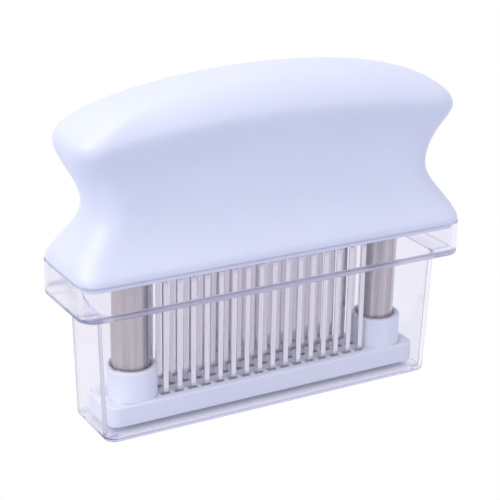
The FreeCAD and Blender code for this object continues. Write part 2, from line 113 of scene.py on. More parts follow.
class Tree:
    """Short ways to add and join the nodes of one node tree."""

    def __init__(self, tree: bpy.types.NodeTree) -> None:
        """Wraps a node tree."""
        self.tree = tree

    def feed(self, node: Node, feeds: dict[object, object]) -> None:
        """Fills inputs of a node.

        Args:
            node: The node.
            feeds: Number, colour or output to link for each input, by the input's name or place.
        """
        for label, value in feeds.items():
            target = node.inputs[label]
            if isinstance(value, Socket):
                self.tree.links.new(value, target)
            else:
                target.default_value = (*value, 1.0) if target.type == "RGBA" else value

    def add(self, kind: str, feeds: dict[object, object] | None = None, **settings: object) -> Node:
        """Adds a node.

        Args:
            kind: Blender's name of the node type.
            feeds: What goes into its inputs.
            **settings: Properties to set on it first.

        Returns:
            The new node.
        """
        node = self.tree.nodes.new(kind)
        for name, value in settings.items():
            setattr(node, name, value)
        self.feed(node, feeds or {})
        return node

    def maths(self, operation: str, *values: object) -> Socket:
        """Gives the result of an operation on numbers or outputs."""
        return self.add("ShaderNodeMath", dict(enumerate(values)), operation=operation).outputs[0]

    def vector(self, x: object = 0.0, y: object = 0.0, z: object = 0.0) -> Socket:
        """Joins three numbers or outputs into a vector."""
        return self.add("ShaderNodeCombineXYZ", {"X": x, "Y": y, "Z": z}).outputs[0]

    def parts(self, vector: Socket) -> list[Socket]:
        """Splits a vector into its x, y and z."""
        return list(self.add("ShaderNodeSeparateXYZ", {0: vector}).outputs)

    def own_place(self) -> Socket:
        """Gives the place on the piece in the piece's own coordinates."""
        return self.add("ShaderNodeTexCoord").outputs["Object"]

    def blend(self, share: Socket, first: Socket, second: Node) -> Socket:
        """Mixes two shaders, of which the second one shows where the share is 1."""
        return self.add("ShaderNodeMixShader", {0: share, 1: first, 2: second.outputs[0]}).outputs[0]

    def bump(self, height: Socket, strength: float, depth: float) -> Socket:
        """Turns a height from 0 to 1 into a normal, for bumps of a depth in metres."""
        return self.add("ShaderNodeBump",
                        {"Height": height, "Strength": strength, "Distance": depth}).outputs[0]

    def spread(self, mask: Socket, low: object, high: object, span: Span = MASK_SPAN) -> Socket:
        """Turns a mask that varies over the surface into a value or colour between two.

        Args:
            mask: The mask.
            low: Value, colour or colour output where the mask is low.
            high: The same where it is high.
            span: The mask's values at which low and high are reached.

        Returns:
            The value or colour.
        """
        ramp = self.add("ShaderNodeMapRange", {"Value": mask, "From Min": span[0], "From Max": span[1]})
        if isinstance(low, float):
            self.feed(ramp, {"To Min": low, "To Max": high})
            return ramp.outputs[0]
        mix = self.add("ShaderNodeMix", {0: ramp.outputs[0]}, data_type="RGBA")
        places = [place for place, socket in enumerate(mix.inputs) if socket.type == "RGBA"]
        self.feed(mix, dict(zip(places, (low, high))))
        return next(socket for socket in mix.outputs if socket.type == "RGBA")

    def pattern(self, group: "Pattern", values: dict[str, float],
                grain: Grain = Grain.UPRIGHT) -> bpy.types.NodeOutputs:
        """Places a shared pattern on the piece.

        Args:
            group: The pattern.
            values: Its numbers, by name.
            grain: Way in which it runs.

        Returns:
            The pattern's outputs.
        """
        mapping = self.add("ShaderNodeMapping",
                           {"Vector": self.own_place(), "Rotation": (0.0, grain.value, 0.0)})
        return self.add("ShaderNodeGroup", {"Position": mapping.outputs[0], **values},
                        node_tree=group.tree).outputs


class Pattern(Tree):
    """A shader node group that turns a position into heights and masks."""

    def __init__(self, name: str, inputs: dict[str, float], outputs: tuple[str, ...]) -> None:
        """Makes the group with its sockets.

        Args:
            name: The group's name.
            inputs: Name and usual value of each number that goes in.
            outputs: Name of each value that comes out.
        """
        super().__init__(bpy.data.node_groups.new(name, "ShaderNodeTree"))
        face = self.tree.interface
        face.new_socket("Position", in_out="INPUT", socket_type="NodeSocketVector")
        for label, value in inputs.items():
            face.new_socket(label, in_out="INPUT", socket_type="NodeSocketFloat").default_value = value
        for label in outputs:
            face.new_socket(label, in_out="OUTPUT", socket_type="NodeSocketFloat")
        self.given = self.add("NodeGroupInput").outputs
        self.result = self.add("NodeGroupOutput")

    def give_noise(self, label: str, place: Socket, scale: Socket, detail: float) -> None:
        """Puts out a noise under a name."""
        noise = self.add("ShaderNodeTexNoise", {"Vector": place, "Scale": scale, "Detail": detail})
        self.feed(self.result, {label: noise.outputs["Fac"]})


def fine_grain_pattern() -> Pattern:
    """Builds the fine texture of a moulded surface.

    Returns:
        A pattern that gives a height for bumps and a mask of faint cloudy spots.
    """
    group = Pattern("fine_grain", {"Grain per mm": 3.0, "Clouds per mm": 0.05}, ("Height", "Clouds"))
    for label, rate, detail in (("Height", "Grain per mm", GRAIN_DETAIL),
                                ("Clouds", "Clouds per mm", CLOUD_DETAIL)):
        scale = group.maths("DIVIDE", group.given[rate], MM)
        group.give_noise(label, group.given["Position"], scale, detail)
    return group


def brushed_lines_pattern() -> Pattern:
    """Builds the fine lines of a brushed or drawn metal, which run along z.

    Returns:
        A pattern that gives a height for bumps and masks of fine lines and of wide bands.
    """
    group = Pattern("brushed_lines", {"Lines per mm": 6.0, "Bands per mm": 0.3, "Stretch": 60.0},
                    ("Height", "Lines", "Bands"))
    x, y, z = group.parts(group.given["Position"])
    squeezed = group.vector(x, y, group.maths("DIVIDE", z, group.given["Stretch"]))
    for label, rate, share in (("Height", "Lines per mm", 1.0), ("Lines", "Lines per mm", LINE_MASK_SHARE),
                               ("Bands", "Bands per mm", 1.0)):
        scale = group.maths("MULTIPLY", group.given[rate], share / MM)
        group.give_noise(label, squeezed, scale, LINE_DETAIL)
    return group


class Patterns:
    """The patterns that several finishes share, each built once."""

    def __init__(self) -> None:
        """Builds every shared pattern."""
        self.fine_grain = fine_grain_pattern()
        self.brushed_lines = brushed_lines_pattern()


class MaterialTree(Tree):
    """A new material that holds one Principled shader."""

    def __init__(self, name: str) -> None:
        """Makes the material, its shader and its output.

        Args:
            name: The material's name.
        """
        self.material = bpy.data.materials.new(name)
        super().__init__(emptied(self.material))
        self.shader = self.add("ShaderNodeBsdfPrincipled")
        self.output = self.add("ShaderNodeOutputMaterial", {"Surface": self.shader.outputs[0]})


# ---- Finishes ----
@dataclass(frozen=True)
class MouldedPlastic:
    """Opaque moulded plastic or rubber with a fine grain and faint clouds in its gloss."""

    name: str
    colour: Colour
    cloud_colour: Colour
    roughness: float = 0.34
    roughness_spread: float = 0.06
    grain_per_mm: float = 3.0
    grain_depth: float = 0.004 * MM
    grain_strength: float = 0.5

    def build(self, patterns: Patterns) -> Material:
        """Makes the material.

        Args:
            patterns: The shared patterns.

        Returns:
            The material.
        """
        tree = MaterialTree(self.name)
        grain = tree.pattern(patterns.fine_grain, {"Grain per mm": self.grain_per_mm})
        tree.feed(tree.shader, {
            "Base Color": tree.spread(grain["Clouds"], self.cloud_colour, self.colour),
            "Roughness": tree.spread(grain["Clouds"], self.roughness - self.roughness_spread,
                                     self.roughness + self.roughness_spread),
            "Normal": tree.bump(grain["Height"], self.grain_strength, self.grain_depth),
            "IOR": PLASTIC_INDEX})
        return tree.material


@dataclass(frozen=True)
class BrushedSteel:
    """Steel with fine lines, and where asked for with wide darker bands, partly uneven tone and partly a
    painted reflection, or a painted shade between close pieces.
    """

    name: str
    colour: Colour
    line_colour: Colour
    roughness: float = 0.3
    roughness_spread: float = 0.06
    lines_per_mm: float = 6.0
    stretch: float = 60.0
    line_depth: float = 0.003 * MM
    line_strength: float = 0.4
    anisotropy: float = 0.0
    anisotropy_turn: float = 0.25
    grain: Grain = Grain.UPRIGHT
    tone_and_reflection_band_colour: Colour | None = None
    band_span: Span = (0.45, 0.65)
    shade_colour: Colour = (0.2, 0.2, 0.25)
    shade_reach: float = 0.0
    shade_span: Span = (0.3, 0.9)
    shade_samples: int = 8

    def build(self, patterns: Patterns) -> Material:
        """Makes the material.

        Args:
            patterns: The shared patterns.

        Returns:
            The material.
        """
        tree = MaterialTree(self.name)
        lines = tree.pattern(patterns.brushed_lines,
                             {"Lines per mm": self.lines_per_mm, "Stretch": self.stretch}, self.grain)
        colour = tree.spread(lines["Lines"], self.line_colour, self.colour)
        # Darker bands along the length: partly a drawn tube's uneven tone, partly a painted reflection of
        # dark surroundings.
        if self.tone_and_reflection_band_colour:
            colour = tree.spread(lines["Bands"], colour, self.tone_and_reflection_band_colour, self.band_span)
        # Painted shade: ambient occlusion from the piece's own nearby parts darkens the colour, as between
        # the rows of blades.
        if self.shade_reach:
            shade = tree.add("ShaderNodeAmbientOcclusion", {"Distance": self.shade_reach},
                             only_local=True, samples=self.shade_samples)
            colour = tree.spread(shade.outputs["AO"], self.shade_colour, colour, self.shade_span)
        tree.feed(tree.shader, {
            "Base Color": colour,
            "Roughness": tree.spread(lines["Lines"], self.roughness - self.roughness_spread,
                                     self.roughness + self.roughness_spread),
            "Normal": tree.bump(lines["Height"], self.line_strength, self.line_depth),
            "Metallic": 1.0, "Anisotropic": self.anisotropy, "Anisotropic Rotation": self.anisotropy_turn})
        return tree.material


@dataclass(frozen=True)
class ClearPlastic:
    """Clear moulded plastic that lets soft light through, with satin edges whose darker lilac tint paints
    the refraction and reflection lines of the ledge, rim, tub corners and base.
    """

    name: str
    colour: Colour
    satin_and_painted_line_colour: Colour
    deep_colour: Colour
    absorption_colour: Colour
    absorption_per_metre: float
    roughness: float = 0.012
    satin_roughness: float = 0.35
    end_roughness: float = 0.15
    collar_depth: float = 11.95 * MM
    side_band_drop: float = 9.9 * MM
    side_band_reach: float = 3.2 * MM
    side_band_fade: float = 1.8 * MM
    end_band_drop: float = 11.0 * MM
    end_reach: float = 1.2 * MM
    rim_band: float = 0.45 * MM
    corner_span: Span = (10.1 * MM, 11.2 * MM)
    corner_reach: float = 14.5 * MM
    base_band: float = 0.8 * MM
    base_inset: Span = (10.6 * MM, 5.6 * MM)
    waves_per_mm: float = 0.12
    wave_depth: float = 0.01 * MM
    wave_strength: float = 0.3
    deepest_reflection: float = 2.5

    def build(self, patterns: Patterns) -> Material:
        """Makes the material.

        Args:
            patterns: The shared patterns.

        Returns:
            The material.
        """
        tree = MaterialTree(self.name)
        waves = tree.pattern(patterns.fine_grain, {"Grain per mm": self.waves_per_mm})
        ends, satin = self.masks(tree)
        # Satin strips are rougher and darker lilac; the darker colour is painted refraction and reflection
        # lines.
        tree.feed(tree.shader, {
            "Base Color": tree.spread(satin, self.colour, self.satin_and_painted_line_colour),
            "Roughness": tree.maths("MAXIMUM", tree.maths("MULTIPLY", ends, self.end_roughness),
                                    tree.spread(satin, self.roughness, self.satin_roughness)),
            "Normal": tree.bump(waves["Height"], self.wave_strength, self.wave_depth),
            "Transmission Weight": 1.0, "IOR": PLASTIC_INDEX})
        path = tree.add("ShaderNodeLightPath").outputs
        deep = tree.maths("GREATER_THAN", path["Glossy Depth"], self.deepest_reflection)
        soft = tree.maths("MAXIMUM", path["Is Shadow Ray"], path["Is Diffuse Ray"])
        surface = tree.shader.outputs[0]
        for share, colour in ((deep, self.deep_colour), (soft, WHITE)):
            surface = tree.blend(share, surface, tree.add("ShaderNodeBsdfTransparent", {"Color": colour}))
        absorption = tree.add("ShaderNodeVolumeAbsorption",
                              {"Color": self.absorption_colour, "Density": self.absorption_per_metre})
        tree.feed(tree.output, {"Surface": surface, "Volume": absorption.outputs[0]})
        return tree.material

    def masks(self, tree: Tree) -> tuple[Socket, Socket]:
        """Marks the parts of the case that are not polished, where a darker lilac tint also paints
        refraction and reflection lines.

        Args:
            tree: The material's tree.

        Returns:
            Masks of the collar's end walls and of the satin edges.
        """
        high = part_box("storage_case")[1]
        x, y, height = tree.parts(tree.own_place())
        along, across = tree.maths("ABSOLUTE", x), tree.maths("ABSOLUTE", y)
        ledge, start = high.z - self.collar_depth, high.y - self.side_band_reach
        ends = tree.maths("GREATER_THAN", along, high.x - self.end_reach)
        sides = tree.spread(across, 0.0, 1.0, (start, start + self.side_band_fade))
        corners = tree.maths("MULTIPLY", self.within(tree, across, self.corner_span),
                             tree.maths("GREATER_THAN", along, high.x - self.corner_reach))
        edges = [tree.maths("GREATER_THAN", value, limit - inset)
                 for value, limit, inset in zip((along, across), high, self.base_inset)]
        satin = tree.maths("GREATER_THAN", height, high.z - self.rim_band)
        for part, span in ((sides, (ledge, high.z - self.side_band_drop)),
                           (ends, (ledge, high.z - self.end_band_drop)),
                           (corners, (0.0, ledge)),
                           (tree.maths("MAXIMUM", *edges), (0.0, self.base_band))):
            marked = tree.maths("MULTIPLY", part, self.within(tree, height, span))
            satin = tree.maths("MAXIMUM", satin, marked)
        return ends, satin

    def within(self, tree: Tree, value: Socket, span: Span) -> Socket:
        """Gives 1 where a value lies between two numbers, and 0 elsewhere."""
        return tree.maths("COMPARE", value, (span[0] + span[1]) / 2, (span[1] - span[0]) / 2)


HANDLE_PLASTIC = MouldedPlastic("handle_plastic", srgb(225, 229, 249), srgb(222, 226, 247),
                                roughness=0.36, roughness_spread=0.03)
WHITE_PLASTIC = MouldedPlastic("white_plastic", srgb(240, 243, 254), srgb(237, 240, 253),
                               roughness=0.4, roughness_spread=0.05)
NYLON = MouldedPlastic("bush_plastic", srgb(226, 226, 224), srgb(216, 216, 213), roughness=0.5)
RUBBER = MouldedPlastic("bumper_rubber", srgb(44, 44, 46), srgb(36, 36, 38), roughness=0.72,
                        grain_depth=0.02 * MM)
# The column's band colour is partly uneven tone and partly painted reflection bands along the tube.
COLUMN_STEEL = BrushedSteel("column_steel", srgb(203, 196, 197), srgb(196, 189, 191), lines_per_mm=14.0,
                            roughness_spread=0.03, anisotropy=0.75, tone_and_reflection_band_colour=srgb(150, 146, 160))
# The blades' shade colour paints shade between the rows and near neighbouring blades.
BLADE_STEEL = BrushedSteel("blade_steel", srgb(236, 232, 238), srgb(226, 222, 229), roughness=0.14,
                           roughness_spread=0.04, lines_per_mm=12.0, shade_colour=srgb(128, 125, 140),
                           shade_reach=12.0 * MM, shade_span=(0.3, 0.8))
CLAMP_STEEL = BrushedSteel("clamp_steel", srgb(178, 178, 184), srgb(160, 160, 167), roughness=0.36,
                           grain=Grain.LENGTHWISE)
SPRING_STEEL = BrushedSteel("spring_steel", srgb(150, 150, 156), srgb(132, 132, 140), roughness=0.28)
SCREW_STEEL = BrushedSteel("screw_steel", srgb(196, 196, 202), srgb(180, 180, 188), roughness=0.25)
# The satin colour paints the lilac refraction and reflection lines along the case's edges.
CLEAR_PLASTIC = ClearPlastic("clear_plastic", srgb(247, 246, 252), satin_and_painted_line_colour=srgb(194, 193, 215),
                             deep_colour=srgb(238, 238, 248), absorption_colour=srgb(110, 115, 235),
                             absorption_per_metre=9.0)

NODE_FINISHES = {
    "storage_case": CLEAR_PLASTIC, "handle_shell": HANDLE_PLASTIC, "blade_head": WHITE_PLASTIC,
    "foot_plate": WHITE_PLASTIC, "blade_clamp": CLAMP_STEEL, "column_tube": COLUMN_STEEL,
    "column_plug": CLAMP_STEEL, "stop_collar": CLAMP_STEEL, "guide_bush": NYLON,
    "stop_bumper": RUBBER, "spring_post": NYLON, "column_spring": SPRING_STEEL,
    "front_blades": BLADE_STEEL, "middle_blades": BLADE_STEEL, "rear_blades": BLADE_STEEL,
    "clamp_screws": SCREW_STEEL, "handle_screws": SCREW_STEEL, "column_screws": SCREW_STEEL,
}


# ---- Mesh helpers ----
END_SPANS = 3                # spans along each end of an oblong ring
FLAT_FACE_WEIGHT = 100       # makes normals follow the larger faces


def put_in_scene(name: str, data: bpy.types.ID) -> Piece:
    """Makes an object of a mesh, camera or lamp.

    Args:
        name: The object's name.
        data: What it shows.

    Returns:
        The object, which is in the scene.
    """
    piece = bpy.data.objects.new(name, data)
    bpy.context.scene.collection.objects.link(piece)
    return piece


def link_mesh(name: str, build: MeshBuild) -> Piece:
    """Turns a finished mesh build into an object at the origin with smooth faces.

    Args:
        name: The object's name.
        build: The mesh build, which is freed.

    Returns:
        The new object.
    """
    bmesh.ops.recalc_face_normals(build, faces=build.faces)
    mesh = bpy.data.meshes.new(name)
    build.to_mesh(mesh)
    build.free()
    mesh.shade_smooth()
    return put_in_scene(name, mesh)


def settle(piece: Piece) -> None:
    """Applies the piece's modifiers, so that its mesh is the final one.

    Args:
        piece: The piece.
    """
    graph = bpy.context.evaluated_depsgraph_get()
    mesh = bpy.data.meshes.new_from_object(piece.evaluated_get(graph), depsgraph=graph)
    piece.modifiers.clear()
    piece.data = mesh


def paint(piece: Piece, material: Material) -> None:
    """Gives the whole piece one material."""
    piece.data.materials.clear()
    piece.data.materials.append(material)


def steady_normals(piece: Piece) -> None:
    """Keeps flat faces flat beside their small rounded edges.

    Args:
        piece: The piece.
    """
    modifier = piece.modifiers.new("steady_normals", "WEIGHTED_NORMAL")
    modifier.weight = FLAT_FACE_WEIGHT
    modifier.keep_sharp = True
    settle(piece)


def carve(piece: Piece, cutter: Piece, crossing: bool = False) -> None:
    """Cuts a form out of a piece.

    Args:
        piece: The piece.
        cutter: The form, which is removed.
        crossing: Whether the form crosses itself.
    """
    cut = piece.modifiers.new("cut", "BOOLEAN")
    cut.operation = "DIFFERENCE"
    cut.solver = "EXACT"
    cut.use_self = crossing
    cut.object = cutter
    settle(piece)
    bpy.data.objects.remove(cutter)


def add_block(build: MeshBuild, size: Place, centre: Place = (0.0, 0.0, 0.0)) -> None:
    """Adds a rectangular block to a mesh build.

    Args:
        build: The mesh build.
        size: The block's sizes along x, y and z.
        centre: Its centre.
    """
    corners = bmesh.ops.create_cube(build, size=1.0)["verts"]
    bmesh.ops.scale(build, vec=size, verts=corners)
    bmesh.ops.translate(build, vec=centre, verts=corners)


def add_rings(build: MeshBuild, rings: list[Ring]) -> Rows:
    """Adds the points of rings to a mesh build."""
    return [[build.verts.new(point) for point in ring] for ring in rings]


def join_rows(build: MeshBuild, rows: Rows) -> None:
    """Joins each row of points round a form to the next one with faces.

    Args:
        build: The mesh build.
        rows: The rows, all of one length; a pole is one point repeated.
    """
    for low, high in zip(rows, rows[1:]):
        for i in range(len(low)):
            following = (i + 1) % len(low)
            corners = (low[i], low[following], high[following], high[i])
            build.faces.new(tuple(dict.fromkeys(corners)))


def oblong(length: float, width: float, corner: float, z: float, corner_spans: int,
           side_spans: int) -> Ring:
    """Points round a rectangle with round corners, from where its first corner starts.

    Args:
        length: Size along x.
        width: Size along y.
        corner: Corner radius.
        z: Height.
        corner_spans: Spans in each corner.
        side_spans: Spans along each long side.

    Returns:
        The ring of points.
    """
    in_x, in_y = length / 2 - corner, width / 2 - corner
    points: Ring = []
    for quarter, (sx, sy) in enumerate(QUARTERS):
        for step in range(corner_spans + 1):
            turn = math.pi / 2 * (quarter + step / corner_spans)
            points.append(Vector((sx * in_x + corner * math.cos(turn),
                                  sy * in_y + corner * math.sin(turn), z)))
        start = points[-1]
        along_side = quarter % 2 == 0
        end = Vector((-sx * in_x, start.y, z)) if along_side else Vector((start.x, -sy * in_y, z))
        spans = side_spans if along_side else END_SPANS
        points += [start.lerp(end, step / spans) for step in range(1, spans)]
    return points


def skin(build: MeshBuild, rings: list[Ring]) -> None:
    """Joins oblong rings, and closes the first and last one with quads across their width.

    Args:
        build: The mesh build.
        rings: The rings, which all have the same points in the same order.
    """
    rows = add_rings(build, rings)
    join_rows(build, rows)
    around, end_quads = len(rows[0]), END_SPANS // 2
    for ring in (rows[0], rows[-1]):
        # Each edge of the ring's first half is joined to the edge across from it.
        for i in range(-end_quads, around // 2 - END_SPANS + end_quads):
            mirrored = -END_SPANS - i
            build.faces.new((ring[i], ring[i + 1], ring[(mirrored - 1) % around], ring[mirrored % around]))


def lathe(build: MeshBuild, profile: list[Span], spans: int) -> None:
    """Turns a profile about the z axis into a closed body.

    Args:
        build: The mesh build.
        profile: Radius and height of each point; the first and last may lie on the axis.
        spans: Faces round the axis.
    """
    turns = [2 * math.pi * i / spans for i in range(spans)]
    rows = []
    for radius, z in profile:
        if radius == 0:
            rows.append([build.verts.new((0, 0, z))] * spans)
        else:
            rows.append([build.verts.new((radius * math.cos(t), radius * math.sin(t), z)) for t in turns])
    join_rows(build, rows)


# ---- Geometry node trees ----
class GeometryTree(Tree):
    """A geometry node tree with named inputs, which ends in one plain mesh."""

    def __init__(self, name: str, counts: tuple[str, ...], sizes: tuple[str, ...]) -> None:
        """Makes the tree and its sockets.

        Args:
            name: The tree's name.
            counts: Name of each whole number that goes in.
            sizes: Name of each other number that goes in.
        """
        super().__init__(bpy.data.node_groups.new(name, "GeometryNodeTree"))
        face = self.tree.interface
        face.new_socket("Geometry", in_out="INPUT", socket_type="NodeSocketGeometry")
        kinds = dict.fromkeys(counts, "Int") | dict.fromkeys(sizes, "Float") | {"Material": "Material"}
        self.identifiers = {
            label: face.new_socket(label, in_out="INPUT", socket_type="NodeSocket" + kind).identifier
            for label, kind in kinds.items()}
        face.new_socket("Geometry", in_out="OUTPUT", socket_type="NodeSocketGeometry")
        self.given = self.add("NodeGroupInput").outputs

    def finish(self, geometry: Socket) -> None:
        """Realizes the instances, sets the material and ends the tree.

        Args:
            geometry: What the tree has made.
        """
        real = self.add("GeometryNodeRealizeInstances", {0: geometry})
        coat = self.add("GeometryNodeSetMaterial",
                        {"Geometry": real.outputs[0], "Material": self.given["Material"]})
        self.add("NodeGroupOutput", {0: coat.outputs[0]})

    def run(self, piece: Piece, values: dict[str, object]) -> None:
        """Runs the tree on a piece and keeps the result as its mesh.

        Args:
            piece: The piece whose mesh goes in.
            values: The tree's inputs, by name.
        """
        modifier = piece.modifiers.new(self.tree.name, "NODES")
        modifier.node_group = self.tree
        for label, value in values.items():
            modifier[self.identifiers[label]] = value
        settle(piece)


def grid_tree() -> GeometryTree:
    """Builds a tree that repeats a piece in columns along x and rows along y.

    Returns:
        The tree, whose copies may each be turned a little about z.
    """
    tree = GeometryTree("grid_of_pieces", ("Columns", "Rows", "Seed"), ("Pitch", "Row spacing", "Twist"))
    given = tree.given
    geometry = given["Geometry"]
    twist = tree.add("FunctionNodeRandomValue", {"Seed": given["Seed"]}, data_type="FLOAT")
    limits = [place for place, socket in enumerate(twist.inputs) if socket.type == "VALUE"]
    tree.feed(twist, {limits[0]: tree.maths("MULTIPLY", given["Twist"], -1.0), limits[1]: given["Twist"]})
    amount = next(socket for socket in twist.outputs if socket.type == "VALUE")
    for count, gap, direction in (("Columns", "Pitch", "x"), ("Rows", "Row spacing", "y")):
        half = tree.maths("MULTIPLY", tree.maths("SUBTRACT", given[count], 1.0), -0.5)
        line = tree.add("GeometryNodeMeshLine", {
            "Count": given[count],
            "Start Location": tree.vector(**{direction: tree.maths("MULTIPLY", half, given[gap])}),
            "Offset": tree.vector(**{direction: given[gap]})}, mode="OFFSET")
        copies = tree.add("GeometryNodeInstanceOnPoints", {"Points": line.outputs[0], "Instance": geometry})
        if direction == "x":
            tree.feed(copies, {"Rotation": tree.vector(z=amount)})
        geometry = copies.outputs[0]
    tree.finish(geometry)
    return tree


def coil_tree(turn_spans: int = 24, wire_spans: int = 10) -> GeometryTree:
    """Builds a tree that winds a round wire into a coil with closed ends.

    Args:
        turn_spans: Spans in each turn.
        wire_spans: Spans round the wire.

    Returns:
        The tree, which ignores the geometry that goes in.
    """
    tree = GeometryTree("coil_of_wire", (),
                        ("Turns", "Radius", "Wire radius", "Bottom", "Height", "Centre x"))
    given = tree.given
    spiral = tree.add("GeometryNodeCurveSpiral", {
        "Resolution": turn_spans, "Rotations": given["Turns"], "Height": given["Height"],
        "Start Radius": given["Radius"], "End Radius": given["Radius"]})
    wire = tree.add("GeometryNodeCurvePrimitiveCircle",
                    {"Resolution": wire_spans, "Radius": given["Wire radius"]})
    sweep = tree.add("GeometryNodeCurveToMesh", {
        "Curve": spiral.outputs[0], "Profile Curve": wire.outputs[0], "Fill Caps": True})
    place = tree.add("GeometryNodeTransform", {
        "Geometry": sweep.outputs[0], "Translation": tree.vector(x=given["Centre x"], z=given["Bottom"])})
    tree.finish(place.outputs[0])
    return tree


# ---- Storage case ----
@dataclass
class StorageCase:
    """Clear tub with a ledge and a wide collar, moulded in one piece."""

    ledge_end: float = 7.9 * MM
    ledge_side: float = 4.1 * MM
    draft_end: float = 1.5 * MM
    draft_side: float = 0.4 * MM
    collar_depth: float = 12.0 * MM
    collar_corner: float = 6.0 * MM
    tub_corner: float = 4.0 * MM
    wall: float = 1.5 * MM
    tub_wall: float = 1.2 * MM
    shelf: float = 1.1 * MM
    shelf_fall: float = 0.7 * MM
    floor: float = 1.5 * MM
    collar_edge_round: float = 0.6 * MM
    tub_edge_round: float = 1.5 * MM
    rim_round: float = 0.3 * MM
    ledge_fillet: float = 0.1 * MM
    inner_round: float = 0.2 * MM
    round_spans: int = 4
    corner_spans: int = 10
    side_spans: int = 16

    def __post_init__(self) -> None:
        """Reads the case's outer size from the frame."""
        low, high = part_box("storage_case")
        self.length, self.width, self.rim = high - low
        self.ledge = self.rim - self.collar_depth

    def collar(self, inset: float, z: float) -> Ring:
        """Ring of the collar's outline, drawn in by a distance."""
        return oblong(self.length - 2 * inset, self.width - 2 * inset, self.collar_corner - inset, z,
                      self.corner_spans, self.side_spans)

    def tub(self, inset: float, z: float) -> Ring:
        """Ring of the drafted tub's outline.

        Args:
            inset: Distance by which it is drawn in.
            z: Its height.

        Returns:
            The ring.
        """
        drawn = 1 - max(z, 0.0) / self.ledge
        length = self.length - 2 * (self.ledge_end + self.draft_end * drawn + inset)
        width = self.width - 2 * (self.ledge_side + self.draft_side * drawn + inset)
        return oblong(length, width, self.tub_corner - inset, z, self.corner_spans, self.side_spans)

    def quarter(self, radius: float) -> list[Span]:
        """Sine and one less the cosine, times a radius, at even steps over a quarter turn."""
        turns = [math.pi / 2 * step / self.round_spans for step in range(self.round_spans + 1)]
        return [(radius * math.sin(turn), radius * (1 - math.cos(turn))) for turn in turns]

    def rings(self) -> list[Ring]:
        """Works out the section of the wall.

        Returns:
            All rings, from the underside up outside to the rim and down inside to the floor.
        """
        wall, rim, ledge, inner = self.wall, self.rim, self.ledge, self.inner_round
        shelf, mouth = ledge + self.shelf, ledge + self.shelf - self.shelf_fall
        foot, edge, lip, fillet = (self.tub_edge_round, self.collar_edge_round, self.rim_round,
                                   self.ledge_fillet)
        rings = [self.tub(foot - across, up) for across, up in self.quarter(foot)]
        rings += [self.tub(-out, ledge - fillet + up) for up, out in self.quarter(fillet)]
        rings += [self.collar(edge - across, ledge + up) for across, up in self.quarter(edge)]
        rings += [self.collar(inward, rim - lip + up) for up, inward in self.quarter(lip)]
        rings += [self.collar(wall - lip + across, rim - down) for across, down in self.quarter(lip)]
        rings += [self.collar(wall + inward, shelf + inner - down) for down, inward in self.quarter(inner)]
        wall = self.tub_wall
        rings += [self.tub(wall - fillet + across, mouth - down) for across, down in self.quarter(fillet)]
        rings += [self.tub(wall + inward, self.floor + inner - down)
                  for down, inward in self.quarter(inner)]
        return rings

    def build(self, material: Material) -> Piece:
        """Makes the case, which stands for the CAD one.

        Args:
            material: Its finish.

        Returns:
            The case.
        """
        build = bmesh.new()
        skin(build, self.rings())
        case = link_mesh("clear_case", build)
        steady_normals(case)
        paint(case, material)
        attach(case, "case")
        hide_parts("storage_case")
        return case


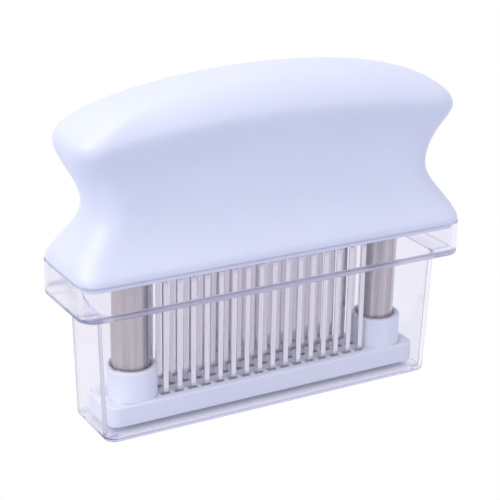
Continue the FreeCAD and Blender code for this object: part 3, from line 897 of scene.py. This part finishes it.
# ---- Grip ----
@dataclass
class Grip:
    """Hollow grip: wide at its base, drawn in at its waist, with an arched crown."""

    waist_rise: float = 22.4 * MM
    side_waist_rise: float = 31.0 * MM
    crown_drop: float = 12.8 * MM
    waist_length: float = 127.6 * MM
    waist_width: float = 23.6 * MM
    crown_length: float = 142.9 * MM
    crown_width: float = 32.4 * MM
    arch_radius: float = 425.0 * MM
    base_corner: float = 6.5 * MM
    waist_corner: float = 9.8 * MM
    crown_corner: float = 9.8 * MM
    wall: float = 2.5 * MM
    lip: float = 0.7 * MM
    crown_fullness: float = 2.5
    crown_slope: float = 1.5
    base_hold: float = 0.07
    side_base_hold: float = 0.09
    end_draw_power: float = 1.07
    side_draw_power: float = 0.47
    undercut_power: float = 1.35
    corner_power: float = 1.8
    corner_limit: float = 0.97
    flank_spans: int = 9
    crown_spans: int = 12
    corner_spans: int = 5
    side_spans: int = 8
    smoothing: int = 2

    def __post_init__(self) -> None:
        """Reads the grip's outer size from the frame."""
        low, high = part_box("handle_shell")
        self.base_length, self.base_width = high.x - low.x, high.y - low.y
        self.rim, self.crest = low.z, high.z
        self.waist = self.rim + self.waist_rise
        self.crown = self.crest - self.crown_drop

    def outline(self, length: float, width: float, corner: float) -> Ring:
        """Level ring whose corners leave a flat on each end."""
        return oblong(length, width, min(corner, self.corner_limit * width / 2), 0.0,
                      self.corner_spans, self.side_spans)

    def bowed(self, ring: Ring, level: float, share: float) -> Ring:
        """Lifts a ring, bent down towards the grip's ends as the crown is.

        Args:
            ring: The ring, which is level.
            level: Its height at the middle of the grip.
            share: How much of the crown's bow it takes.

        Returns:
            The bent ring.
        """
        radius = self.arch_radius
        return [Vector((p.x, p.y, level - share * (radius - math.sqrt(radius ** 2 - p.x ** 2))))
                for p in ring]

    def shares(self, height: float, waist_rise: float, hold: float, draw_power: float,
               swell_power: float) -> Span:
        """Gives how much of the base's and of the crown's width over the waist is there at a height.

        Args:
            height: The height.
            waist_rise: Height of the waist over the rim.
            hold: Share of that rise over which the base keeps its width.
            draw_power: Draws the base in close to the rim where it is below 1.
            swell_power: Moves the undercut up to the crown where it is above 1.

        Returns:
            The base's share and the crown's share.
        """
        rise = height - self.rim
        drawn = min(max((rise / waist_rise - hold) / (1 - hold), 0.0), 1.0)
        swollen = max(rise - waist_rise, 0.0) / (self.crown - self.rim - waist_rise)
        return ((1 + math.cos(math.pi * drawn ** draw_power)) / 2,
                (1 - math.cos(math.pi * swollen ** swell_power)) / 2)

    def flank(self, inset: float, height: float) -> Ring:
        """Ring of the grip's side between the rim and the crown.

        Args:
            inset: Distance by which it is drawn in.
            height: Its height at the middle of the grip.

        Returns:
            The ring.
        """
        ends, end_swell = self.shares(height, self.waist_rise, self.base_hold, self.end_draw_power, 1.0)
        sides, side_swell = self.shares(height, self.side_waist_rise, self.side_base_hold,
                                        self.side_draw_power, self.undercut_power)
        length, width, corner = (
            waist + (base - waist) * drawn + (crown - waist) * swollen
            for base, waist, crown, drawn, swollen in (
                (self.base_length, self.waist_length, self.crown_length, ends, end_swell),
                (self.base_width, self.waist_width, self.crown_width, sides, side_swell),
                (self.base_corner, self.waist_corner, self.crown_corner, sides ** self.corner_power,
                 end_swell)))
        ring = self.outline(length - 2 * inset, width - 2 * inset, corner - inset)
        return self.bowed(ring, height, (height - self.rim) / (self.crown - self.rim))

    def crown_ring(self, inset: float, step: int) -> Ring:
        """Ring of the crown, which turns from a round-cornered oblong into an oval.

        Args:
            inset: Distance by which it is drawn in.
            step: Its place among the crown's spans.

        Returns:
            The ring.
        """
        length, width = self.crown_length - 2 * inset, self.crown_width - 2 * inset
        turn = math.pi / 2 * step / self.crown_spans
        lift, reach = (value ** (2 / self.crown_fullness) for value in (math.sin(turn), math.cos(turn)))
        spread = math.sqrt(1 - lift ** self.crown_slope)
        oval = lift ** 2
        ring = []
        for p in self.outline(length, width, self.crown_corner - inset):
            angle = math.atan2(p.y / width, p.x / length)
            ring.append(Vector((reach * (p.x + (length / 2 * math.cos(angle) - p.x) * oval),
                                spread * (p.y + (width / 2 * math.sin(angle) - p.y) * oval), 0.0)))
        return self.bowed(ring, self.crown + (self.crest - inset - self.crown) * lift, 1.0)

    def skin_rings(self, inset: float) -> list[Ring]:
        """Works out one skin, inner or outer.

        Args:
            inset: Distance by which it is drawn in.

        Returns:
            All its rings, from just above the rim to the crest.
        """
        levels = [self.rim + self.lip]
        levels += [self.rim + self.waist_rise * step / self.flank_spans
                   for step in range(1, self.flank_spans)]
        levels += [self.waist + (self.crown - self.waist) * step / self.flank_spans
                   for step in range(self.flank_spans + 1)]
        return ([self.flank(inset, level) for level in levels]
                + [self.crown_ring(inset, step) for step in range(1, self.crown_spans)])

    def build(self, material: Material) -> Piece:
        """Makes the grip, which stands for the CAD handle.

        Args:
            material: Its finish.

        Returns:
            The grip.
        """
        edge = [self.flank(inset, self.rim)
                for inset in (0.0, self.lip, self.wall - self.lip, self.wall)]
        build = bmesh.new()
        skin(build, self.skin_rings(0.0)[::-1] + edge + self.skin_rings(self.wall))
        grip = link_mesh("grip", build)
        smooth = grip.modifiers.new("smooth", "SUBSURF")
        smooth.levels = smooth.render_levels = self.smoothing
        settle(grip)
        paint(grip, material)
        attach(grip, "handle")
        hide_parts("handle_shell")
        return grip


# ---- Seat lip ----
@dataclass
class SeatLip:
    """White rim under the grip that centres the tool in the collar of its case."""

    side_gap: float = 0.25 * MM
    cad_wall: float = 1.8 * MM
    case_corner: float = 6.0 * MM
    width: float = 1.5 * MM
    drop: float = 2.2 * MM
    edge_round: float = 0.25 * MM
    corner_spans: int = 8
    side_spans: int = 8
    sharp_angle: float = math.radians(50)

    def ring(self, inset: float, z: float) -> Ring:
        """Ring of the lip's outline.

        Args:
            inset: Distance by which it is drawn in.
            z: Its height.

        Returns:
            The ring.
        """
        low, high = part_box("storage_case")
        inward = self.cad_wall + self.side_gap + inset
        return oblong(high.x - low.x - 2 * inward, high.y - low.y - 2 * inward,
                      self.case_corner - inward, z, self.corner_spans, self.side_spans)

    def build(self, material: Material) -> Piece:
        """Makes the lip, closed all round.

        Args:
            material: Its finish.

        Returns:
            The lip.
        """
        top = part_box("handle_shell")[0].z
        bottom, edge = top - self.drop, self.edge_round
        section = [(0.0, top), (0.0, bottom + edge), (edge, bottom), (self.width - edge, bottom),
                   (self.width, bottom + edge), (self.width, top)]
        build = bmesh.new()
        rows = add_rings(build, [self.ring(inset, z) for inset, z in section])
        join_rows(build, rows + rows[:1])
        lip = link_mesh("seat_lip", build)
        lip.data.set_sharp_from_angle(angle=self.sharp_angle)
        paint(lip, material)
        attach(lip, "handle")
        return lip


# ---- Foot ----
@dataclass
class Foot:
    """Slotted foot, whose slots stand open round the blades."""

    slot_length: float = 3.5 * MM
    slot_width: float = 2.5 * MM
    slot_offset: float = -0.6 * MM
    plate_top: float = 10.4 * MM
    overshoot: float = 0.2 * MM
    merge_distance: float = 0.001 * MM
    sharp_angle: float = math.radians(35)

    def slots(self, grid: GeometryTree, bank: "BladeBank", material: Material) -> Piece:
        """Makes the blocks that cut the slots, one for each blade.

        Args:
            grid: The tree that repeats pieces.
            bank: The blades.
            material: Finish of the cut faces.

        Returns:
            The blocks in one piece.
        """
        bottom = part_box("foot_plate")[0].z - self.overshoot
        top = self.plate_top + self.overshoot
        build = bmesh.new()
        add_block(build, (self.slot_length, self.slot_width, top - bottom),
                  (self.slot_offset, 0.0, (top + bottom) / 2))
        slots = link_mesh("slots", build)
        grid.run(slots, bank.layout() | {"Twist": 0.0, "Seed": 0, "Material": material})
        return slots

    def build(self, grid: GeometryTree, bank: "BladeBank", material: Material) -> Piece:
        """Makes the foot, which stands for the CAD one.

        Args:
            grid: The tree that repeats pieces.
            bank: The blades that go through it.
            material: Its finish.

        Returns:
            The foot.
        """
        build = bmesh.new()
        build.from_mesh(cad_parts["foot_plate"].data)
        bmesh.ops.remove_doubles(build, verts=build.verts, dist=self.merge_distance)
        foot = link_mesh("slotted_foot", build)
        carve(foot, self.slots(grid, bank, material))
        foot.data.set_sharp_from_angle(angle=self.sharp_angle)
        steady_normals(foot)
        paint(foot, material)
        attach(foot, "foot")
        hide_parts("foot_plate")
        return foot


# ---- Blades ----
@dataclass
class BladeBank:
    """Rows of flat blades with T-shaped heads and ground points."""

    columns: int = 16
    head_width: float = 3.0 * MM
    head_height: float = 1.2 * MM
    width: float = 1.88 * MM
    edge_relief: float = 0.06 * MM
    point_height: float = 2.2 * MM
    ground_height: float = 3.6 * MM
    chamfer: float = 0.12 * MM
    tip_half_width: float = 0.06 * MM
    tip_half_thickness: float = 0.05 * MM
    twist: float = math.radians(0.9)
    seed: int = 7
    rows: tuple[str, ...] = ("front_blades", "middle_blades", "rear_blades")

    def __post_init__(self) -> None:
        """Reads the rows' places and the blades' reach from the frame."""
        low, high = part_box(self.rows[0])
        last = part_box(self.rows[-1])[1]
        self.tip, self.top = low.z, high.z
        self.thickness = high.y - low.y
        self.pitch = (high.x - low.x - self.head_width) / (self.columns - 1)
        self.row_spacing = (last.y - high.y) / (len(self.rows) - 1)

    def layout(self) -> dict[str, object]:
        """Gives the grid of the blades, as inputs of the tree that repeats pieces."""
        return {"Columns": self.columns, "Pitch": self.pitch, "Rows": len(self.rows),
                "Row spacing": self.row_spacing}

    def section(self, half_x: float, half_y: float, z: float) -> Ring:
        """Level section of a blade with small chamfers on its corners.

        Args:
            half_x: Half its width.
            half_y: Half its thickness.
            z: Its height.

        Returns:
            The ring.
        """
        cut = min(self.chamfer, half_x / 2, half_y / 2)
        corners = [(half_x, half_y - cut), (half_x - cut, half_y)]
        return [Vector((sx * x, sy * y, z)) for quarter, (sx, sy) in enumerate(QUARTERS)
                for x, y in (corners if quarter % 2 == 0 else corners[::-1])]

    def blade(self) -> Piece:
        """Makes one blade on the z axis, from its point up to its head.

        Returns:
            The blade, with flat faces.
        """
        half_x, half_y = self.width / 2, self.thickness / 2 - self.edge_relief
        neck = self.top - self.head_height
        levels = [(self.tip_half_width, self.tip_half_thickness, self.tip),
                  (half_x, half_y * self.point_height / self.ground_height, self.tip + self.point_height),
                  (half_x, half_y, self.tip + self.ground_height),
                  (half_x, half_y, neck), (self.head_width / 2, half_y, neck),
                  (self.head_width / 2, half_y, self.top)]
        build = bmesh.new()
        rows = add_rings(build, [self.section(*level) for level in levels])
        join_rows(build, rows)
        for end in (rows[0], rows[-1]):
            build.faces.new(end)
        blade = link_mesh("blades", build)
        blade.data.shade_flat()
        return blade

    def build(self, grid: GeometryTree, material: Material) -> Piece:
        """Makes all the blades, which stand for the CAD rows.

        Args:
            grid: The tree that repeats pieces.
            material: Their finish.

        Returns:
            The blades in one piece.
        """
        bank = self.blade()
        grid.run(bank, self.layout() | {"Twist": self.twist, "Seed": self.seed, "Material": material})
        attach(bank, "handle")
        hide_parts(*self.rows)
        return bank


# ---- Springs ----
@dataclass
class ColumnSpring:
    """Compression spring inside one column."""

    side: str
    turns: float = 13.0
    wire_radius: float = 0.5 * MM
    travel: float = 30.0 * MM

    def build(self, coil: GeometryTree, material: Material) -> Piece:
        """Makes the spring, which rides on the handle's body.

        Args:
            coil: The tree that winds coils.
            material: Its finish.

        Returns:
            The spring.
        """
        node = self.side + "_column_spring"
        low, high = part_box(node)
        centre, length = (low + high) / 2, high.z - low.z
        spring = put_in_scene(self.side + "_spring", bpy.data.meshes.new(node))
        coil.run(spring, {"Turns": self.turns, "Radius": (high.x - low.x) / 2 - self.wire_radius,
                          "Wire radius": self.wire_radius, "Bottom": low.z + self.wire_radius,
                          "Height": length - 2 * self.wire_radius, "Centre x": centre.x,
                          "Material": material})
        spring.data.shade_smooth()
        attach(spring, "handle")
        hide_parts(node)
        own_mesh(spring)
        return spring


# ---- Screws ----
@dataclass
class Screws:
    """A group of like screws with domed heads and cross recesses."""

    node: str
    body: str
    columns: int
    rows: int
    head_radius: float
    head_height: float
    shank_radius: float
    head_below: bool
    recess_width: float = 0.75 * MM
    recess_depth: float = 1.0 * MM
    recess_reach: float = 0.62
    dome: float = 0.3
    dome_points: tuple[Span, ...] = ((0.0, 0.0), (0.55, 0.06), (0.85, 0.4), (1.0, 1.0))
    tip: float = 0.35
    spans: int = 32
    sharp_angle: float = math.radians(35)

    def profile(self, length: float) -> list[Span]:
        """Works out a screw's profile, which starts at the middle of its head.

        Args:
            length: The screw's whole length.

        Returns:
            Radius and height of each point.
        """
        radius, shank, edge = self.head_radius, self.shank_radius, self.dome * self.head_height
        return ([(across * radius, up * edge) for across, up in self.dome_points]
                + [(radius, self.head_height), (shank, self.head_height), (shank, length - shank),
                   (self.tip * shank, length), (0.0, length)])

    def screw(self, bottom: float, top: float) -> Piece:
        """Makes one screw on the z axis, between two heights.

        Args:
            bottom: Its lowest height.
            top: Its highest height.

        Returns:
            The screw.
        """
        build, cutter = bmesh.new(), bmesh.new()
        lathe(build, self.profile(top - bottom), self.spans)
        screw = link_mesh(self.node.replace("_screws", "_screw_set"), build)
        reach, depth = 2 * self.recess_reach * self.head_radius, 2 * self.recess_depth
        add_block(cutter, (reach, self.recess_width, depth))
        add_block(cutter, (self.recess_width, reach, depth))
        carve(screw, link_mesh("cross", cutter), crossing=True)
        if self.head_below:
            screw.data.transform(Matrix.Translation((0, 0, bottom)))
        else:
            screw.data.transform(Matrix.Translation((0, 0, top)) @ Matrix.Rotation(math.pi, 4, "X"))
        screw.data.set_sharp_from_angle(angle=self.sharp_angle)
        return screw

    def build(self, grid: GeometryTree, material: Material) -> Piece:
        """Makes the whole group, which stands for the CAD one.

        Args:
            grid: The tree that repeats pieces.
            material: Their finish.

        Returns:
            The screws in one piece.
        """
        low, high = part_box(self.node)
        screws = self.screw(low.z, high.z)
        pitch, spacing = ((size - 2 * self.head_radius) / max(count - 1, 1) for size, count
                          in ((high.x - low.x, self.columns), (high.y - low.y, self.rows)))
        grid.run(screws, {"Columns": self.columns, "Pitch": pitch, "Rows": self.rows,
                          "Row spacing": spacing, "Twist": math.pi, "Seed": len(self.node),
                          "Material": material})
        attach(screws, self.body)
        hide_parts(self.node)
        return screws


SCREW_GROUPS = (
    Screws("clamp_screws", "handle", columns=3, rows=2, head_radius=1.9 * MM, head_height=1.5 * MM,
           shank_radius=1.2 * MM, head_below=False),
    Screws("handle_screws", "handle", columns=2, rows=2, head_radius=2.6 * MM, head_height=1.9 * MM,
           shank_radius=1.25 * MM, head_below=True),
    Screws("column_screws", "foot", columns=2, rows=1, head_radius=3.4 * MM, head_height=1.9 * MM,
           shank_radius=1.6 * MM, head_below=True),
)


# ---- Studio ----
@dataclass
class Camera:
    """The camera, turned about the point that it looks at."""

    focal_pixels: float = 1486.607
    azimuth: float = -29.878
    elevation: float = 20.584
    roll: float = 1.094
    distance: float = 505.014 * MM
    slide_right: float = -3.297 * MM
    slide_up: float = -6.718 * MM
    nearest: float = 0.01
    furthest: float = 50.0

    def build(self) -> Piece:
        """Makes the camera and sets it as the scene's own.

        Returns:
            The camera.
        """
        data = bpy.data.cameras.new("camera")
        data.sensor_width = SENSOR_MM
        data.lens = self.focal_pixels / VIEW_PIXELS * SENSOR_MM
        data.clip_start, data.clip_end = self.nearest, self.furthest
        camera = put_in_scene("camera", data)
        camera.matrix_world = Matrix.Translation(LOOK_POINT)
        for axis, degrees in (("Z", self.azimuth), ("X", 90.0 - self.elevation), ("Z", self.roll)):
            camera.matrix_world @= Matrix.Rotation(math.radians(degrees), 4, axis)
        camera.matrix_world @= Matrix.Translation((self.slide_right, self.slide_up, self.distance))
        bpy.context.scene.camera = camera
        return camera


@dataclass(frozen=True)
class SoftLamp:
    """A square soft lamp that points at the object."""

    name: str
    place: Place
    size: float
    watts: float
    colour: Colour = WHITE

    def build(self) -> Piece:
        """Makes the lamp.

        Returns:
            The lamp.
        """
        data = bpy.data.lights.new(self.name, "AREA")
        data.size, data.energy, data.color = self.size, self.watts, self.colour
        lamp = put_in_scene(self.name, data)
        lamp.location = self.place
        towards = LOOK_POINT - lamp.location
        lamp.rotation_euler = towards.to_track_quat("-Z", "Y").to_euler()
        return lamp


def seen_directly(tree: Tree) -> Socket:
    """Marks the rays that show a surface itself and not its light.

    Args:
        tree: The tree of a material or world.

    Returns:
        Output that is 1 for camera, glossy and transmission rays, and 0 for the rest.
    """
    path = tree.add("ShaderNodeLightPath").outputs
    shiny = tree.maths("MAXIMUM", path["Is Glossy Ray"], path["Is Transmission Ray"])
    return tree.maths("MAXIMUM", path["Is Camera Ray"], shiny)


@dataclass
class Studio:
    """Pale floor, soft lamps and a white surround."""

    floor_size: float = 12.0
    floor_drop: float = 0.1 * MM
    floor_colour: Colour = srgb(214, 217, 230)
    # Painted shade: the floor's bluish colour in a fixed zone under the foot, which does not move with it.
    shade_colour: Colour = srgb(206, 213, 240)
    shade_margin: float = -4.5 * MM
    shade_fade: float = 8.0 * MM
    shade_share: float = 0.9
    shade_span: Span = (0.0, 0.5)
    ambient: Colour = (0.87, 0.88, 0.975)
    ambient_strength: float = 0.65
    lamps: tuple[SoftLamp, ...] = (
        SoftLamp("overhead_lamp", (-0.15, 0.10, 1.20), size=0.9, watts=3.6),
        SoftLamp("left_lamp", (-1.02, -0.22, 0.88), size=0.85, watts=7.5, colour=(1.0, 0.985, 0.92)),
        SoftLamp("front_lamp", (0.45, -1.30, 0.55), size=0.9, watts=2.2),
    )

    def build(self) -> None:
        """Makes the floor, the lamps and the world."""
        self.build_floor()
        for lamp in self.lamps:
            lamp.build()
        self.build_world()

    def shaded_share(self, tree: Tree) -> Socket:
        """Marks a fixed zone round the foot's place at rest, where the floor shows its real shadow and a
        painted bluish shade instead of white.

        Args:
            tree: The floor's tree.

        Returns:
            The share of the shade that shows, which is 0 away from the foot.
        """
        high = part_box("foot_plate")[1]
        beyond = [tree.maths("SUBTRACT", tree.maths("ABSOLUTE", value), half + self.shade_margin)
                  for value, half in zip(tree.parts(tree.own_place()), high.xy)]
        return tree.add("ShaderNodeMapRange", {
            "Value": tree.maths("MAXIMUM", *beyond), "From Max": self.shade_fade,
            "To Min": self.shade_share, "To Max": 0.0}, interpolation_type="SMOOTHSTEP").outputs[0]

    def floor_material(self) -> Material:
        """Makes the floor's material, which shows white from above and nothing from below.

        Returns:
            The material.
        """
        material = bpy.data.materials.new("floor")
        tree = Tree(emptied(material))
        shaded = self.shaded_share(tree)
        # Inside the zone the floor takes the bluish painted shade colour.
        colour = tree.spread(shaded, self.floor_colour, self.shade_colour, self.shade_span)
        matt = tree.add("ShaderNodeBsdfDiffuse", {"Color": colour})
        white = tree.add("ShaderNodeEmission", {"Color": WHITE, "Strength": 1.0})
        share = tree.maths("MULTIPLY", seen_directly(tree), tree.maths("SUBTRACT", 1.0, shaded))
        top = tree.blend(share, matt.outputs[0], white)
        below = tree.add("ShaderNodeNewGeometry").outputs["Backfacing"]
        surface = tree.blend(below, top, tree.add("ShaderNodeBsdfTransparent"))
        tree.add("ShaderNodeOutputMaterial", {"Surface": surface})
        return material

    def build_floor(self) -> None:
        """Makes the floor, which keeps the real shadow and a painted bluish shade under the foot's place at
        rest.
        """
        mesh = bpy.data.meshes.new("floor")
        half = self.floor_size / 2
        corners = [(-sx * half, -sy * half, -self.floor_drop) for sx, sy in QUARTERS]
        mesh.from_pydata(corners, [], [range(len(corners))])
        floor = put_in_scene("floor", mesh)
        paint(floor, self.floor_material())

    def build_world(self) -> None:
        """Makes the surround: soft cool light, seen as white."""
        world = bpy.data.worlds.new("studio")
        tree = Tree(emptied(world))
        soft, white = (tree.add("ShaderNodeBackground", {"Color": colour, "Strength": strength})
                       for colour, strength in ((self.ambient, self.ambient_strength), (WHITE, 1.0)))
        surface = tree.blend(seen_directly(tree), soft.outputs[0], white)
        tree.add("ShaderNodeOutputWorld", {"Surface": surface})
        bpy.context.scene.world = world


# ---- The whole scene ----
def dress_nodes(patterns: Patterns) -> dict[str, Material]:
    """Gives every CAD node its finish.

    Args:
        patterns: The shared patterns.

    Returns:
        The materials by name.
    """
    made = {}
    for name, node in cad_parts.items():
        side, _, rest = name.partition("_")
        finish = NODE_FINISHES[rest if side in SIDES else name]
        if finish.name not in made:
            made[finish.name] = finish.build(patterns)
        paint(node, made[finish.name])
    return made


def main() -> None:
    """Builds the pieces, the camera and the studio."""
    logging.basicConfig(level=logging.INFO, format="%(name)s: %(message)s")
    bpy.context.scene.view_settings.view_transform = "Standard"
    finishes = dress_nodes(Patterns())
    grid, coil, bank = grid_tree(), coil_tree(), BladeBank()
    made = [StorageCase().build(finishes["clear_plastic"]), Grip().build(finishes["handle_plastic"]),
            SeatLip().build(finishes["white_plastic"]), Foot().build(grid, bank, finishes["white_plastic"]),
            bank.build(grid, finishes["blade_steel"])]
    made += [ColumnSpring(side).build(coil, finishes["spring_steel"]) for side in SIDES]
    made += [screws.build(grid, finishes["screw_steel"]) for screws in SCREW_GROUPS]
    for piece in made:
        log.info("%s: %d faces", piece.name, len(piece.data.polygons))
    Camera().build()
    Studio().build()


if __name__ == "__main__":
    main()
